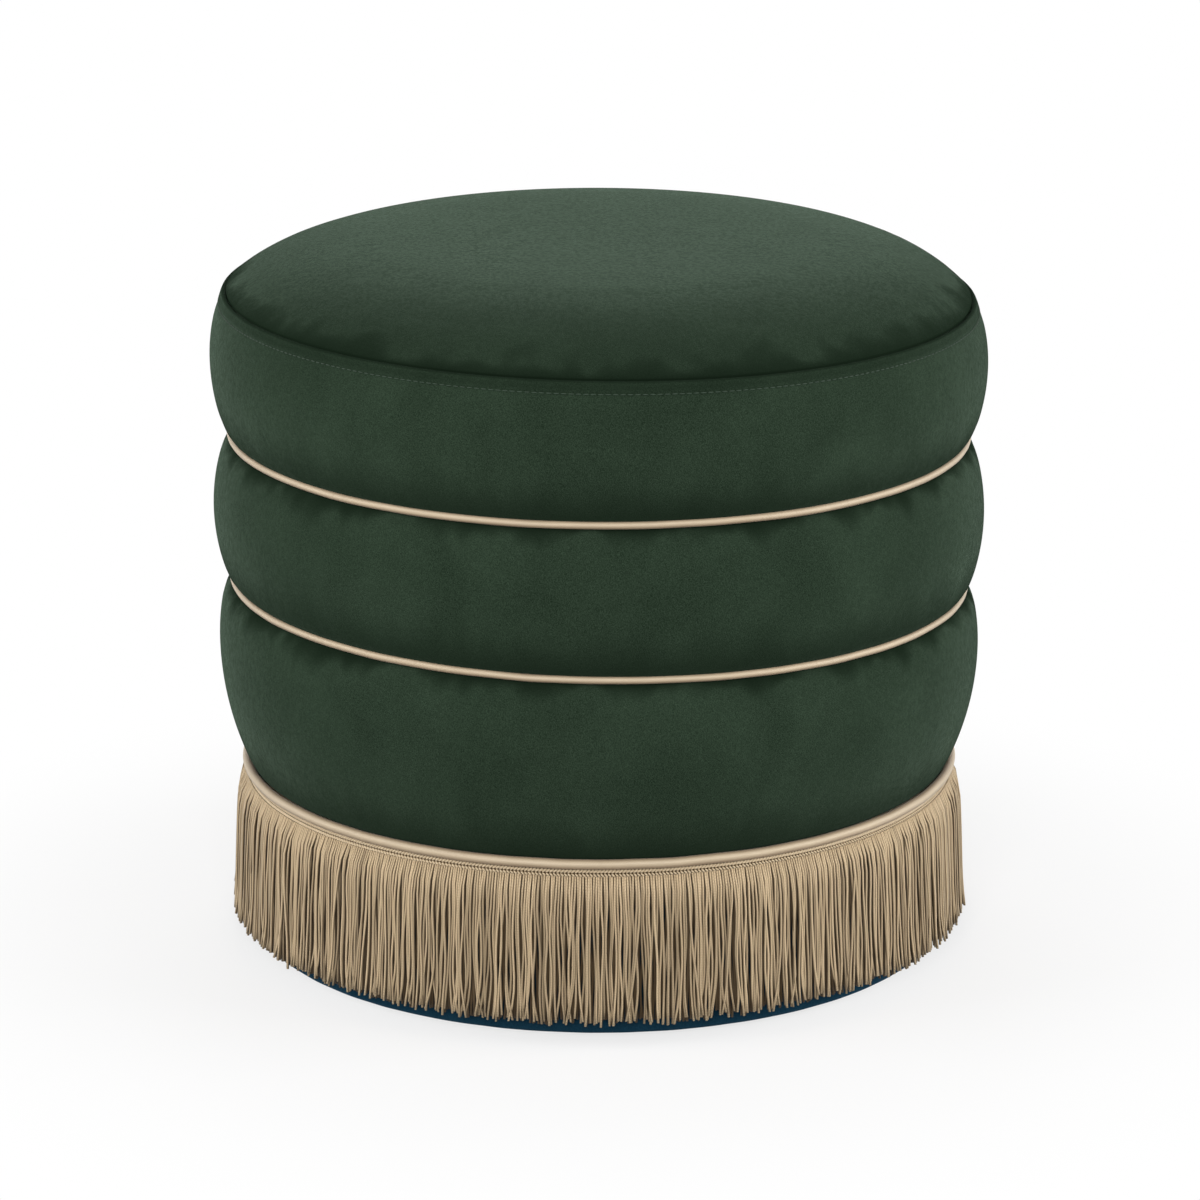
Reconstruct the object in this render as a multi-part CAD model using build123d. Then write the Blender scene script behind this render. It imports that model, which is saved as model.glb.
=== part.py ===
from build123d import *
import os
from dataclasses import dataclass
from math import asin, cos, pi, radians, sin, sqrt

# A round drum ottoman. Two plywood boards and three plywood hoops stand on six pine uprights.
# Hardboard wraps close the drum, foam and wadding pad it, and a sewn velvet cover is drawn in at
# two grooves, so that it swells into three rolls. A covered cord fills each groove and the hem,
# a cord fringe hangs from the hem over a plain plinth, and the whole stands on nailed-on glides.
# Millimetres. +Z is up, -Y is the front, and the origin is on the floor under the centre.

# Wooden frame
FRAME_RADIUS = 200.0
BOARD_THICKNESS = 15.0
BASE_RING_WIDTH = 85.0
HOOP_WIDTH = 25.0
HOOP_THICKNESS = 12.0
WRAP_THICKNESS = 3.0
UPRIGHT_COUNT = 6
UPRIGHT_DEPTH = 42.0
UPRIGHT_WIDTH = 45.0
UPRIGHT_ANGLE = -101.5  # degrees from +X to the first upright, which is a little left of the front
WOOD_GAP = 0.2

# Heights, from the floor up
GLIDE_HEIGHT = 5.0
PLINTH_HEIGHT = 98.7
LOWER_ROLL_HEIGHT = 108.9
MIDDLE_ROLL_HEIGHT = 88.0
UPPER_ROLL_HEIGHT = 81.4
CROWN_HEIGHT = 32.0
SEAT_FOAM_EDGE = 45.0

# Rolls: greatest swell beyond the frame, its height above the lower seam, and the curves of the section
LOWER_ROLL_SWELL = 22.5
LOWER_ROLL_WIDEST = 73.0
LOWER_BELLY_RADIUS = 160.0
MIDDLE_ROLL_SWELL = 24.5
MIDDLE_ROLL_WIDEST = 43.0
UPPER_ROLL_SWELL = 25.0
UPPER_ROLL_WIDEST = 44.0
ROLL_BELLY_RADIUS = 110.0
GROOVE_CORNER_RADIUS = 14.0
HEM_CORNER_RADIUS = 5.0
INNER_CORNER_RADIUS = 2.0

# Seat top: how far the seam round it lies inside the upper roll, and the swell of its rim
CREASE_INSET = 8.0
RIM_RADIUS = 90.0
RIM_SLOPE = 45.0  # degrees above level where the top panel leaves the seam

# Cloth and padding
VELVET_THICKNESS = 1.2
WADDING_THICKNESS = 6.0
PLINTH_WADDING_THICKNESS = 3.0
PLINTH_LIP_WIDTH = 18.0
PLINTH_EDGE_RADIUS = 3.0
DUST_COVER_THICKNESS = 0.6
DUST_COVER_MARGIN = 7.0
LAYER_GAP = 0.3

# Covered cords
PIPING_RADIUS = 2.4
HEM_PIPING_RADIUS = 2.9
PIPING_CLOTH = 0.7
PIPING_SLIT = 0.2
PIPING_TAIL = 8.0

# Fringe
HEADER_HEIGHT = 12.0
HEADER_THICKNESS = 1.8
HEADER_SHOWING = 4.0
BACKING_THICKNESS = 0.6
BACKING_HEIGHT = 6.0
FRINGE_REPEATS = 20
STRANDS_PER_REPEAT = 20
STRAND_WIDTH = 2.0
STRAND_DEPTH = 1.5
STRAND_SINK = 0.4
STRAND_LENGTH = 84.0
STRAND_UNEVENNESS = 4.0
STRAND_FLARE = 7.5
STRAND_SWAY = 0.35
LENGTH_STEP = 2.4  # radians from strand to strand in the wave that makes their lengths uneven
SWAY_STEP = 1.7  # radians from strand to strand in the wave that makes them sway

# Glides and fasteners
GLIDE_RADIUS = 13.0
GLIDE_FACE_RADIUS = 10.5
GLIDE_INSET = 22.0
NAIL_RADIUS = 1.5
NAIL_LENGTH = 14.0
NAIL_HEAD_RADIUS = 5.0
NAIL_HEAD_THICKNESS = 1.6
SCREW_RADIUS = 2.0
SCREW_HEAD_RADIUS = 4.0
SCREW_HEAD_DEPTH = 2.6
SCREW_TIP = 5.0
BOARD_SCREW_LENGTH = 45.0
BOARD_SCREW_SPACING = 24.0
HOOP_SCREW_LENGTH = 35.0
STAPLE_WIDTH = 10.0
STAPLE_WIRE = 1.0
STAPLE_LEG = 9.0
STAPLE_RISE = 3.5
DUST_STAPLE_COUNT = 24
DUST_STAPLE_INSET = 4.0
HOOP_STAPLE_COUNT = 18

# Levels and radii that follow from the sizes above
SEAM = 2 * PIPING_CLOTH + PIPING_SLIT
LIP_LEVEL = GLIDE_HEIGHT + DUST_COVER_THICKNESS
BASE_BOTTOM = LIP_LEVEL + VELVET_THICKNESS
BASE_TOP = BASE_BOTTOM + BOARD_THICKNESS
HEM = BASE_BOTTOM + PLINTH_HEIGHT
LOWER_GROOVE = HEM + LOWER_ROLL_HEIGHT
UPPER_GROOVE = LOWER_GROOVE + MIDDLE_ROLL_HEIGHT
CREASE = UPPER_GROOVE + UPPER_ROLL_HEIGHT
DECK_TOP = CREASE - SEAT_FOAM_EDGE
DECK_BOTTOM = DECK_TOP - BOARD_THICKNESS
LOWER_ROLL_RADIUS = FRAME_RADIUS + LOWER_ROLL_SWELL
MIDDLE_ROLL_RADIUS = FRAME_RADIUS + MIDDLE_ROLL_SWELL
UPPER_ROLL_RADIUS = FRAME_RADIUS + UPPER_ROLL_SWELL
HOOP_INNER = FRAME_RADIUS - HOOP_WIDTH
WRAP_INNER = FRAME_RADIUS - WRAP_THICKNESS
UPRIGHT_OUTER = WRAP_INNER - WOOD_GAP
UPRIGHT_INNER = UPRIGHT_OUTER - UPRIGHT_DEPTH
PADDING_INNER = FRAME_RADIUS + LAYER_GAP
TAIL_OUTER = PADDING_INNER + SEAM
PLINTH_INNER = PADDING_INNER + PLINTH_WADDING_THICKNESS + LAYER_GAP
PLINTH_OUTER = PLINTH_INNER + VELVET_THICKNESS
HEADER_TOP = HEM - HEM_PIPING_RADIUS - LAYER_GAP
DUST_COVER_RADIUS = PLINTH_OUTER - DUST_COVER_MARGIN
GLIDE_CIRCLE_RADIUS = FRAME_RADIUS - GLIDE_INSET
WADDING_INSET = VELVET_THICKNESS + LAYER_GAP
FOAM_INSET = WADDING_INSET + WADDING_THICKNESS + LAYER_GAP
HOOPS = {"hem": HEM, "lower": LOWER_GROOVE, "upper": UPPER_GROOVE}
SPOKES = [UPRIGHT_ANGLE + 360.0 * i / UPRIGHT_COUNT for i in range(UPRIGHT_COUNT)]


@dataclass
class Flank:
    """Half of a roll's section, from its widest line to one seam."""

    radius: float
    widest: float
    seam: float
    belly: float
    corner: float

    def outline(self, inset):
        """Edges of the section, set in by inset, and the point where the cloth turns in to the frame."""
        up = 1 if self.seam > self.widest else -1
        reach = abs(self.seam - self.widest) - inset
        belly = self.belly - inset
        corner = max(self.corner - inset, INNER_CORNER_RADIUS)
        tilt = asin((reach - corner) / (belly - corner))
        belly_center = (self.radius - self.belly, self.widest)
        corner_center = (belly_center[0] + (belly - corner) * cos(tilt), self.seam - up * (inset + corner))
        edges = [
            arc(belly_center, belly, 0, up * tilt),
            arc(corner_center, corner, up * tilt, up * pi / 2),
        ]
        return edges, (corner_center[0], self.seam - up * inset)

    def cord_radius(self, cord):
        """Distance from the axis at which a cord of that radius, level with the seam, rests on the corner."""
        edges, turn = self.outline(0)
        return turn[0] + sqrt((self.corner + cord + LAYER_GAP) ** 2 - (self.corner + SEAM / 2) ** 2)


LOWER_ROLL = [
    Flank(LOWER_ROLL_RADIUS, HEM + LOWER_ROLL_WIDEST, HEM + SEAM / 2, LOWER_BELLY_RADIUS, HEM_CORNER_RADIUS),
    Flank(
        LOWER_ROLL_RADIUS, HEM + LOWER_ROLL_WIDEST, LOWER_GROOVE - SEAM / 2, ROLL_BELLY_RADIUS, GROOVE_CORNER_RADIUS
    ),
]
MIDDLE_ROLL = [
    Flank(MIDDLE_ROLL_RADIUS, LOWER_GROOVE + MIDDLE_ROLL_WIDEST, seam, ROLL_BELLY_RADIUS, GROOVE_CORNER_RADIUS)
    for seam in (LOWER_GROOVE + SEAM / 2, UPPER_GROOVE - SEAM / 2)
]
UPPER_ROLL_FOOT = Flank(
    UPPER_ROLL_RADIUS,
    UPPER_GROOVE + UPPER_ROLL_WIDEST,
    UPPER_GROOVE + SEAM / 2,
    ROLL_BELLY_RADIUS,
    GROOVE_CORNER_RADIUS,
)


# Sections and simple bodies of revolution


def arc(center, radius, start, end):
    """Arc in the XZ plane, with angles in radians from outwards (+X) towards up (+Z)."""
    points = []
    for angle in (start, (start + end) / 2, end):
        points.append((center[0] + radius * cos(angle), 0, center[1] + radius * sin(angle)))
    return ThreePointArc(*points)


def line(start, end):
    """Straight edge in the XZ plane between two points (radius, height)."""
    return Line((start[0], 0, start[1]), (end[0], 0, end[1]))


def turned(edges):
    """Solid of revolution about Z from a closed outline in the XZ plane."""
    return revolve(make_face(edges), Axis.Z)


def ring(inner, outer, low, high):
    """Ring about Z between two radii and two levels."""
    section = Plane.XZ * Pos((inner + outer) / 2, (low + high) / 2) * Rectangle(outer - inner, high - low)
    return revolve(section, Axis.Z)


def disc(radius, low, high):
    """Round plate about Z between two levels."""
    return Pos(0, 0, (low + high) / 2) * Cylinder(radius, high - low)


def around(shape, angles):
    """Copies of a shape turned about Z to each angle, in degrees."""
    return [Rot(0, 0, angle) * shape for angle in angles]


def even_angles(count, start=0.0):
    """Angles, in degrees, that share a full turn evenly."""
    return [start + 360.0 * i / count for i in range(count)]


# Soft forms


def roll_form(flanks, inset):
    """A whole roll, down to the axis, set in by inset from the outside of its velvet."""
    low_edges, low = flanks[0].outline(inset)
    high_edges, high = flanks[1].outline(inset)
    closing = [line(low, (0, low[1])), line((0, low[1]), (0, high[1])), line((0, high[1]), high)]
    return turned(low_edges + high_edges + closing)


def seat_form(inset):
    """The upper roll and the crowned seat top, down to the axis, set in by inset from the velvet."""
    low_edges, low = UPPER_ROLL_FOOT.outline(inset)
    widest = UPPER_ROLL_FOOT.widest
    rise = CREASE - widest
    shoulder = (rise**2 + CREASE_INSET**2) / (2 * CREASE_INSET)
    shoulder_center = (UPPER_ROLL_RADIUS - shoulder, widest)
    lean = asin(rise / shoulder)
    slope = radians(RIM_SLOPE)
    crease_radius = UPPER_ROLL_RADIUS - CREASE_INSET
    dome_chord = crease_radius - RIM_RADIUS * sin(slope)
    dome_rise = CROWN_HEIGHT - RIM_RADIUS * (1 - cos(slope))
    dome = (dome_chord**2 + dome_rise**2) / (2 * dome_rise) + RIM_RADIUS
    dome_center = (0, CREASE + CROWN_HEIGHT - dome)
    ease = asin(dome_chord / (dome - RIM_RADIUS))
    rim_center = (dome_chord, CREASE - RIM_RADIUS * cos(slope))
    rim = RIM_RADIUS - inset
    edges = low_edges + [
        arc(shoulder_center, shoulder - inset, 0, lean),
        arc(rim_center, rim, pi / 2 - slope, pi / 2 - ease),
        arc(dome_center, dome - inset, pi / 2 - ease, pi / 2),
    ]
    if inset:
        edges.append(Line(edges[-3] @ 1, edges[-2] @ 0))
    top = CREASE + CROWN_HEIGHT - inset
    edges += [line((0, top), (0, low[1])), line((0, low[1]), low)]
    return turned(edges)


def above(shape, level):
    """The part of a shape above a level."""
    return split(shape, bisect_by=Plane.XY.offset(level), keep=Keep.TOP)


def below(shape, level):
    """The part of a shape below a level."""
    return split(shape, bisect_by=Plane.XY.offset(level), keep=Keep.BOTTOM)


def frame_room():
    """The space the drum and the stapled tails of the piping take, which every soft layer leaves free."""
    room = [disc(PADDING_INNER, HEM, DECK_TOP)]
    for level in HOOPS.values():
        room.append(disc(TAIL_OUTER + STAPLE_WIRE + 2 * LAYER_GAP, level, level + SEAM + PIPING_TAIL))
    return room


def make_cover(parts):
    """The sewn velvet cover: three bands, the top panel and the plain band round the plinth."""
    room = frame_room()
    parts["lower_band"] = roll_form(LOWER_ROLL, 0) - roll_form(LOWER_ROLL, VELVET_THICKNESS) - room
    parts["middle_band"] = roll_form(MIDDLE_ROLL, 0) - roll_form(MIDDLE_ROLL, VELVET_THICKNESS) - room
    seat = seat_form(0) - seat_form(VELVET_THICKNESS)
    parts["upper_band"] = below(seat, CREASE) - room
    parts["top_panel"] = above(seat, CREASE)
    lip_inner = PLINTH_OUTER - PLINTH_LIP_WIDTH
    wall = Pos((PLINTH_INNER + PLINTH_OUTER) / 2, (LIP_LEVEL + HEADER_TOP) / 2)
    wall *= Rectangle(VELVET_THICKNESS, HEADER_TOP - LIP_LEVEL)
    lip = Pos((lip_inner + PLINTH_OUTER) / 2, (LIP_LEVEL + BASE_BOTTOM) / 2)
    lip *= Rectangle(PLINTH_LIP_WIDTH, VELVET_THICKNESS)
    section = wall + lip
    edge = section.vertices().sort_by_distance((PLINTH_OUTER, LIP_LEVEL))[0]
    section = fillet(edge, PLINTH_EDGE_RADIUS)
    parts["plinth_band"] = revolve(Plane.XZ * section, Axis.Z)


def make_padding(parts):
    """Wadding under the cover and foam under the wadding."""
    room = frame_room()
    for name, roll in (("lower", LOWER_ROLL), ("middle", MIDDLE_ROLL)):
        wadding = roll_form(roll, WADDING_INSET) - roll_form(roll, FOAM_INSET - LAYER_GAP)
        parts[name + "_roll_foam"] = roll_form(roll, FOAM_INSET) - room
        parts[name + "_roll_wadding"] = wadding - room
    foam = seat_form(FOAM_INSET)
    parts["seat_foam"] = above(foam, DECK_TOP)
    parts["upper_roll_foam"] = below(foam, DECK_TOP - LAYER_GAP) - room
    parts["seat_wadding"] = seat_form(WADDING_INSET) - seat_form(FOAM_INSET - LAYER_GAP) - room
    parts["plinth_wadding"] = ring(PADDING_INNER, PLINTH_INNER - LAYER_GAP, BASE_BOTTOM, HEM - SEAM / 2 - LAYER_GAP)


# Trim


def block(left, right, low, high):
    """Rectangle in the section plane between two radii and two levels."""
    return Pos((left + right) / 2, (low + high) / 2) * Rectangle(right - left, high - low)


def make_piping(parts, name, center, cord):
    """A cord in a folded strip of cloth, whose two plies run in to the hoop and turn up its face."""
    level = HOOPS[name]
    fold = PADDING_INNER + SEAM / 2
    end = level + SEAM / 2 + PIPING_TAIL
    cloth = Pos(center, level) * Circle(cord)
    cloth += block(PADDING_INNER, center, level - SEAM / 2, level + SEAM / 2)
    cloth += block(PADDING_INNER, TAIL_OUTER, level - SEAM / 2, end)
    cloth -= Pos(center, level) * Circle(cord - PIPING_CLOTH)
    cloth -= block(fold - PIPING_SLIT / 2, center, level - PIPING_SLIT / 2, level + PIPING_SLIT / 2)
    cloth -= block(fold - PIPING_SLIT / 2, fold + PIPING_SLIT / 2, level, end)
    parts[name + "_piping_cover"] = revolve(Plane.XZ * cloth, Axis.Z) - hoop_staples(level)
    core = Pos(center, level) * Circle(cord - PIPING_CLOTH - LAYER_GAP)
    parts[name + "_piping_cord"] = revolve(Plane.XZ * core, Axis.Z)


def make_fringe(parts):
    """A woven header, and a skirt of separate cords on a thin backing that flare as they fall."""
    header_inner = PLINTH_OUTER + LAYER_GAP
    header_outer = header_inner + HEADER_THICKNESS
    parts["fringe_header"] = ring(header_inner, header_outer, HEADER_TOP - HEADER_HEIGHT, HEADER_TOP)
    top = HEADER_TOP - HEADER_SHOWING
    inner = header_outer + LAYER_GAP
    outer = inner + BACKING_THICKNESS
    turn = 360.0 / FRINGE_REPEATS
    backing = revolve(Plane.XZ * block(inner, outer, top - BACKING_HEIGHT, top), Axis.Z, turn)
    start = Pos(outer - STRAND_SINK + STRAND_DEPTH / 2, 0, top) * Rectangle(STRAND_DEPTH, STRAND_WIDTH)
    strands = []
    for i in range(STRANDS_PER_REPEAT):
        drop = STRAND_LENGTH - STRAND_UNEVENNESS * (1 + sin(LENGTH_STEP * i)) / 2
        fall = Vector(STRAND_FLARE, STRAND_SWAY * sin(SWAY_STEP * i), -drop)
        place = Rot(0, 0, turn * (i + 0.5) / STRANDS_PER_REPEAT)
        strands.append(place * extrude(start, fall.length, dir=fall))
    repeats = around(backing.fuse(*strands), even_angles(FRINGE_REPEATS))
    parts["fringe_strands"] = repeats[0].fuse(*repeats[1:])


# Fasteners and feet


def screw(length):
    """Countersunk wood screw with its head on the origin, pointing up +Z."""
    profile = [
        (0, 0),
        (SCREW_HEAD_RADIUS, 0),
        (SCREW_RADIUS, SCREW_HEAD_DEPTH),
        (SCREW_RADIUS, length - SCREW_TIP),
        (0, length),
    ]
    edges = [line(profile[i - 1], profile[i]) for i in range(len(profile))]
    return turned(edges)


def staple():
    """Wire staple with the middle of its crown on the origin, pointing up +Z and lying along Y."""
    outside = Pos(0, (STAPLE_LEG - STAPLE_WIRE) / 2) * Rectangle(STAPLE_WIDTH, STAPLE_LEG + STAPLE_WIRE)
    inside = Pos(0, STAPLE_LEG / 2) * Rectangle(STAPLE_WIDTH - 2 * STAPLE_WIRE, STAPLE_LEG)
    return extrude(Plane.YZ * (outside - inside), STAPLE_WIRE / 2, both=True)


def pair(shape):
    """Two copies of a fastener, side by side across an upright."""
    return [Pos(0, side * BOARD_SCREW_SPACING / 2, 0) * shape for side in (-1, 1)]


def hoop_staples(level):
    """Staples that hold the tail of one piping to its hoop, between the uprights."""
    held = Pos(TAIL_OUTER + LAYER_GAP, 0, level + STAPLE_RISE) * Rot(0, -90, 0) * staple()
    return around(held, even_angles(HOOP_STAPLE_COUNT, SPOKES[0] + 180.0 / HOOP_STAPLE_COUNT))


def upright_screws():
    """Screws of one upright along +X: through the base, through the deck, and out into each hoop."""
    middle = (UPRIGHT_INNER + HOOP_INNER) / 2
    out = Rot(0, 90, 0) * screw(HOOP_SCREW_LENGTH)
    return {
        "base_screws": pair(Pos(middle, 0, BASE_BOTTOM) * screw(BOARD_SCREW_LENGTH)),
        "deck_screws": pair(Pos(middle, 0, DECK_TOP) * Rot(180, 0, 0) * screw(BOARD_SCREW_LENGTH)),
        "hoop_screws": [Pos(UPRIGHT_INNER, 0, level) * out for level in HOOPS.values()],
    }


def make_fasteners():
    """Every screw, nail and staple in place, by group."""
    groups = {}
    for name, screws in upright_screws().items():
        groups[name] = [copy for one in screws for copy in around(one, SPOKES)]
    groups["hoop_staples"] = [one for level in HOOPS.values() for one in hoop_staples(level)]
    under = Pos(DUST_COVER_RADIUS - DUST_STAPLE_INSET, 0, GLIDE_HEIGHT) * staple()
    groups["dust_cover_staples"] = around(under, even_angles(DUST_STAPLE_COUNT))
    groups["glide_nails"] = around(Pos(GLIDE_CIRCLE_RADIUS, 0, GLIDE_HEIGHT) * nail(), SPOKES)
    return groups


def nail():
    """Glide nail with the underside of the board it is driven through at the origin, pointing up +Z."""
    profile = [
        (0, -NAIL_HEAD_THICKNESS),
        (NAIL_HEAD_RADIUS, -NAIL_HEAD_THICKNESS),
        (NAIL_HEAD_RADIUS, 0),
        (NAIL_RADIUS, 0),
        (NAIL_RADIUS, NAIL_LENGTH - 2 * NAIL_RADIUS),
        (0, NAIL_LENGTH),
    ]
    edges = [line(profile[i - 1], profile[i]) for i in range(len(profile))]
    return turned(edges)


def glide():
    """Round plastic glide standing on the origin, with its edge rounded up from a flat face."""
    bevel = GLIDE_RADIUS - GLIDE_FACE_RADIUS
    corner = (GLIDE_FACE_RADIUS, bevel)
    edges = [
        line((0, 0), (GLIDE_FACE_RADIUS, 0)),
        arc(corner, bevel, -pi / 2, 0),
        line((GLIDE_RADIUS, bevel), (GLIDE_RADIUS, GLIDE_HEIGHT)),
        line((GLIDE_RADIUS, GLIDE_HEIGHT), (0, GLIDE_HEIGHT)),
        line((0, GLIDE_HEIGHT), (0, 0)),
    ]
    return turned(edges)


# Frame


def upright():
    """Post along +X from the base board to the deck, rounded to the wraps and notched for the hoops."""
    post = Pos(UPRIGHT_OUTER - UPRIGHT_DEPTH / 2, 0, (BASE_TOP + DECK_BOTTOM) / 2)
    post *= Box(UPRIGHT_DEPTH, UPRIGHT_WIDTH, DECK_BOTTOM - BASE_TOP)
    post &= disc(UPRIGHT_OUTER, BASE_TOP, DECK_BOTTOM)
    half = HOOP_THICKNESS / 2 + WOOD_GAP
    post -= [ring(HOOP_INNER - WOOD_GAP, FRAME_RADIUS, z - half, z + half) for z in HOOPS.values()]
    for screws in upright_screws().values():
        post -= screws
    return post


def make_frame(parts, fasteners):
    """Boards, hoops, uprights and wraps, with every fastener's hole cut in the wood."""
    base = ring(FRAME_RADIUS - BASE_RING_WIDTH, FRAME_RADIUS, BASE_BOTTOM, BASE_TOP)
    parts["base_board"] = base - fasteners["base_screws"] - fasteners["glide_nails"] - fasteners["dust_cover_staples"]
    parts["deck_board"] = disc(FRAME_RADIUS, DECK_BOTTOM, DECK_TOP) - fasteners["deck_screws"]
    half = HOOP_THICKNESS / 2
    for name, level in HOOPS.items():
        hoop = ring(HOOP_INNER, FRAME_RADIUS, level - half, level + half)
        screws = [one for one in fasteners["hoop_screws"] if abs(one.center().Z - level) < half]
        parts[name + "_hoop"] = hoop - screws - hoop_staples(level)
    for i, post in enumerate(around(upright(), SPOKES)):
        parts[f"upright_{i + 1}"] = post
    half += WOOD_GAP
    spans = {
        "plinth": (BASE_TOP + WOOD_GAP, HEM - half),
        "lower": (HEM + half, LOWER_GROOVE - half),
        "middle": (LOWER_GROOVE + half, UPPER_GROOVE - half),
        "upper": (UPPER_GROOVE + half, DECK_BOTTOM - WOOD_GAP),
    }
    for name, (low, high) in spans.items():
        parts[name + "_wrap"] = ring(WRAP_INNER, FRAME_RADIUS, low, high)


def make_feet(parts, fasteners):
    """Dust cover under the base, and the glides nailed on through it."""
    dust = disc(DUST_COVER_RADIUS, GLIDE_HEIGHT, LIP_LEVEL)
    parts["dust_cover"] = dust - fasteners["glide_nails"] - fasteners["dust_cover_staples"]
    parts["plinth_band"] -= fasteners["dust_cover_staples"]
    for i, angle in enumerate(SPOKES):
        foot = Rot(0, 0, angle) * Pos(GLIDE_CIRCLE_RADIUS, 0, 0) * glide()
        parts[f"glide_{i + 1}"] = foot - fasteners["glide_nails"]


# The whole ottoman, one file for each sub-part

parts = {}
fasteners = make_fasteners()
make_frame(parts, fasteners)
make_padding(parts)
make_cover(parts)
make_feet(parts, fasteners)
hem_cord = LOWER_ROLL[0].cord_radius(HEM_PIPING_RADIUS)
lower_cord = max(LOWER_ROLL[1].cord_radius(PIPING_RADIUS), MIDDLE_ROLL[0].cord_radius(PIPING_RADIUS))
upper_cord = max(MIDDLE_ROLL[1].cord_radius(PIPING_RADIUS), UPPER_ROLL_FOOT.cord_radius(PIPING_RADIUS))
make_piping(parts, "hem", hem_cord, HEM_PIPING_RADIUS)
make_piping(parts, "lower", lower_cord, PIPING_RADIUS)
make_piping(parts, "upper", upper_cord, PIPING_RADIUS)
make_fringe(parts)
for name, group in fasteners.items():
    parts[name] = Compound(group)

os.makedirs("parts", exist_ok=True)
for name, shape in parts.items():
    export_step(shape, f"parts/{name}.step")
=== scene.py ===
# %% [markdown]
# # A round ottoman with padded rolls, piping and a fringe
#
# The hard inside of this ottoman comes from CAD: boards, hoops, uprights, feet and fastenings.
# Here it gets its soft outside. Velvet is drawn in at two grooves so that it swells into three
# rolls, covered cords lie in the grooves, and a fringe of looped cords hangs over the plinth.
# The script is read from top to bottom: first the frame and the camera, then one piece at a time.

from math import asin, atan, ceil, cos, hypot, pi, radians, sin, tau

import bpy
import numpy as np
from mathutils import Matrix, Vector, noise


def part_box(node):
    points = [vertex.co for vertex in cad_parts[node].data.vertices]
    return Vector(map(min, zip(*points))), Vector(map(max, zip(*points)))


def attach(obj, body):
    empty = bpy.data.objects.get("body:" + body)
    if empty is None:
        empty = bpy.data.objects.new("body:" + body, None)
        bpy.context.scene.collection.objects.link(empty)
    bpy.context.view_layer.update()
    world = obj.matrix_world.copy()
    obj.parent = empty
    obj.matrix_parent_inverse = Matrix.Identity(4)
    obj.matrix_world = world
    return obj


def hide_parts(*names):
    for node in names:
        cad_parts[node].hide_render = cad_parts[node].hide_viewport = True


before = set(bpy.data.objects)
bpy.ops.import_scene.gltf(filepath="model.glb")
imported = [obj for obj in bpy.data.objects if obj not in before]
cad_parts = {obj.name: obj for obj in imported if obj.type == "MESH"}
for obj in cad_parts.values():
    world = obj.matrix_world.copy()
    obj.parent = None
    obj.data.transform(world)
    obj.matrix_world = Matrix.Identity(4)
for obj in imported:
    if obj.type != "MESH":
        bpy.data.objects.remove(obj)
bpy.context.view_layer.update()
MM = 0.001

# %% [markdown]
# ## Camera
#
# The picture was taken from a little above with a long lens, so the rings of the seams are flat
# ellipses and the sides stay nearly upright. A short lens would splay them. The aim is a hair below
# the middle of the drum, which sets the object at the same height in the frame.

# %% Camera
CAMERA_HEIGHT_ANGLE = radians(16.4)
CAMERA_DISTANCE = 3.0
CAMERA_LENS_MM = 153.0
CAMERA_PIVOT = Vector((0, 0, 0.200))
CAMERA_AIM = Vector((0.0006, 0, 0.197))

bpy.ops.object.select_all(action="DESELECT")
backwards = Vector((0, -cos(CAMERA_HEIGHT_ANGLE), sin(CAMERA_HEIGHT_ANGLE)))
bpy.ops.object.camera_add(location=CAMERA_PIVOT + backwards * CAMERA_DISTANCE)
camera = bpy.context.object
camera.data.lens = CAMERA_LENS_MM
camera.data.clip_end = 50
camera.rotation_euler = (CAMERA_AIM - camera.location).to_track_quat("-Z", "Y").to_euler()
bpy.context.scene.camera = camera
print("camera at", [round(v, 3) for v in camera.location])

# %% [markdown]
# ## Studio
#
# A pale sweep of floor, a white surround and four soft lamps, as for a shop picture. Velvet is
# shown by light that comes from above and behind, because its pile glows where it is seen edge on.

# %% Studio
LAMPS = {
    "back_box": {"location": (-0.05, 0.78, 0.82), "size": 0.6, "power": 3.0},
    "left_box": {"location": (-2.4, -0.6, 1.15), "size": 1.6, "power": 38},
    "right_box": {"location": (2.4, -0.4, 0.95), "size": 1.6, "power": 48},
    "front_box": {"location": (-0.2, -3.2, 1.35), "size": 1.4, "power": 72},
}


def add_lamp(name, location, size, power):
    """A square soft box that points at the middle of the ottoman."""
    bpy.ops.object.select_all(action="DESELECT")
    bpy.ops.object.light_add(type="AREA", location=location)
    lamp = bpy.context.object
    lamp.name = name
    lamp.data.size = size
    lamp.data.energy = power
    lamp.rotation_euler = (CAMERA_PIVOT - Vector(location)).to_track_quat("-Z", "Y").to_euler()


for lamp_name, lamp_values in LAMPS.items():
    add_lamp(lamp_name, **lamp_values)
bpy.context.scene.view_settings.view_transform = "Standard"
print("lamps", ", ".join(LAMPS))

# %% [markdown]
# ## Shader arithmetic
#
# A finish is a small network of nodes. Writing it as sums and products in Python keeps it readable:
# a `Shade` wraps one socket, and each operator on it adds the Math node that does that sum. Every
# other node comes from `Finish.node`, which takes its type, its settings and its inputs.

# %% Shader arithmetic


class Shade:
    """One value inside a finish. Sums and products of shades add Math nodes."""

    def __init__(self, finish, socket):
        self.finish = finish
        self.socket = socket

    def __add__(self, other):
        return self.finish.math("ADD", self, other)

    def __radd__(self, other):
        return self.finish.math("ADD", other, self)

    def __sub__(self, other):
        return self.finish.math("SUBTRACT", self, other)

    def __rsub__(self, other):
        return self.finish.math("SUBTRACT", other, self)

    def __mul__(self, other):
        return self.finish.math("MULTIPLY", self, other)

    def __rmul__(self, other):
        return self.finish.math("MULTIPLY", other, self)


# %% [markdown]
# A `Finish` owns the nodes of one material or of the world, and its methods name the few kinds of node
# that the finishes below are made of.

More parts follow.
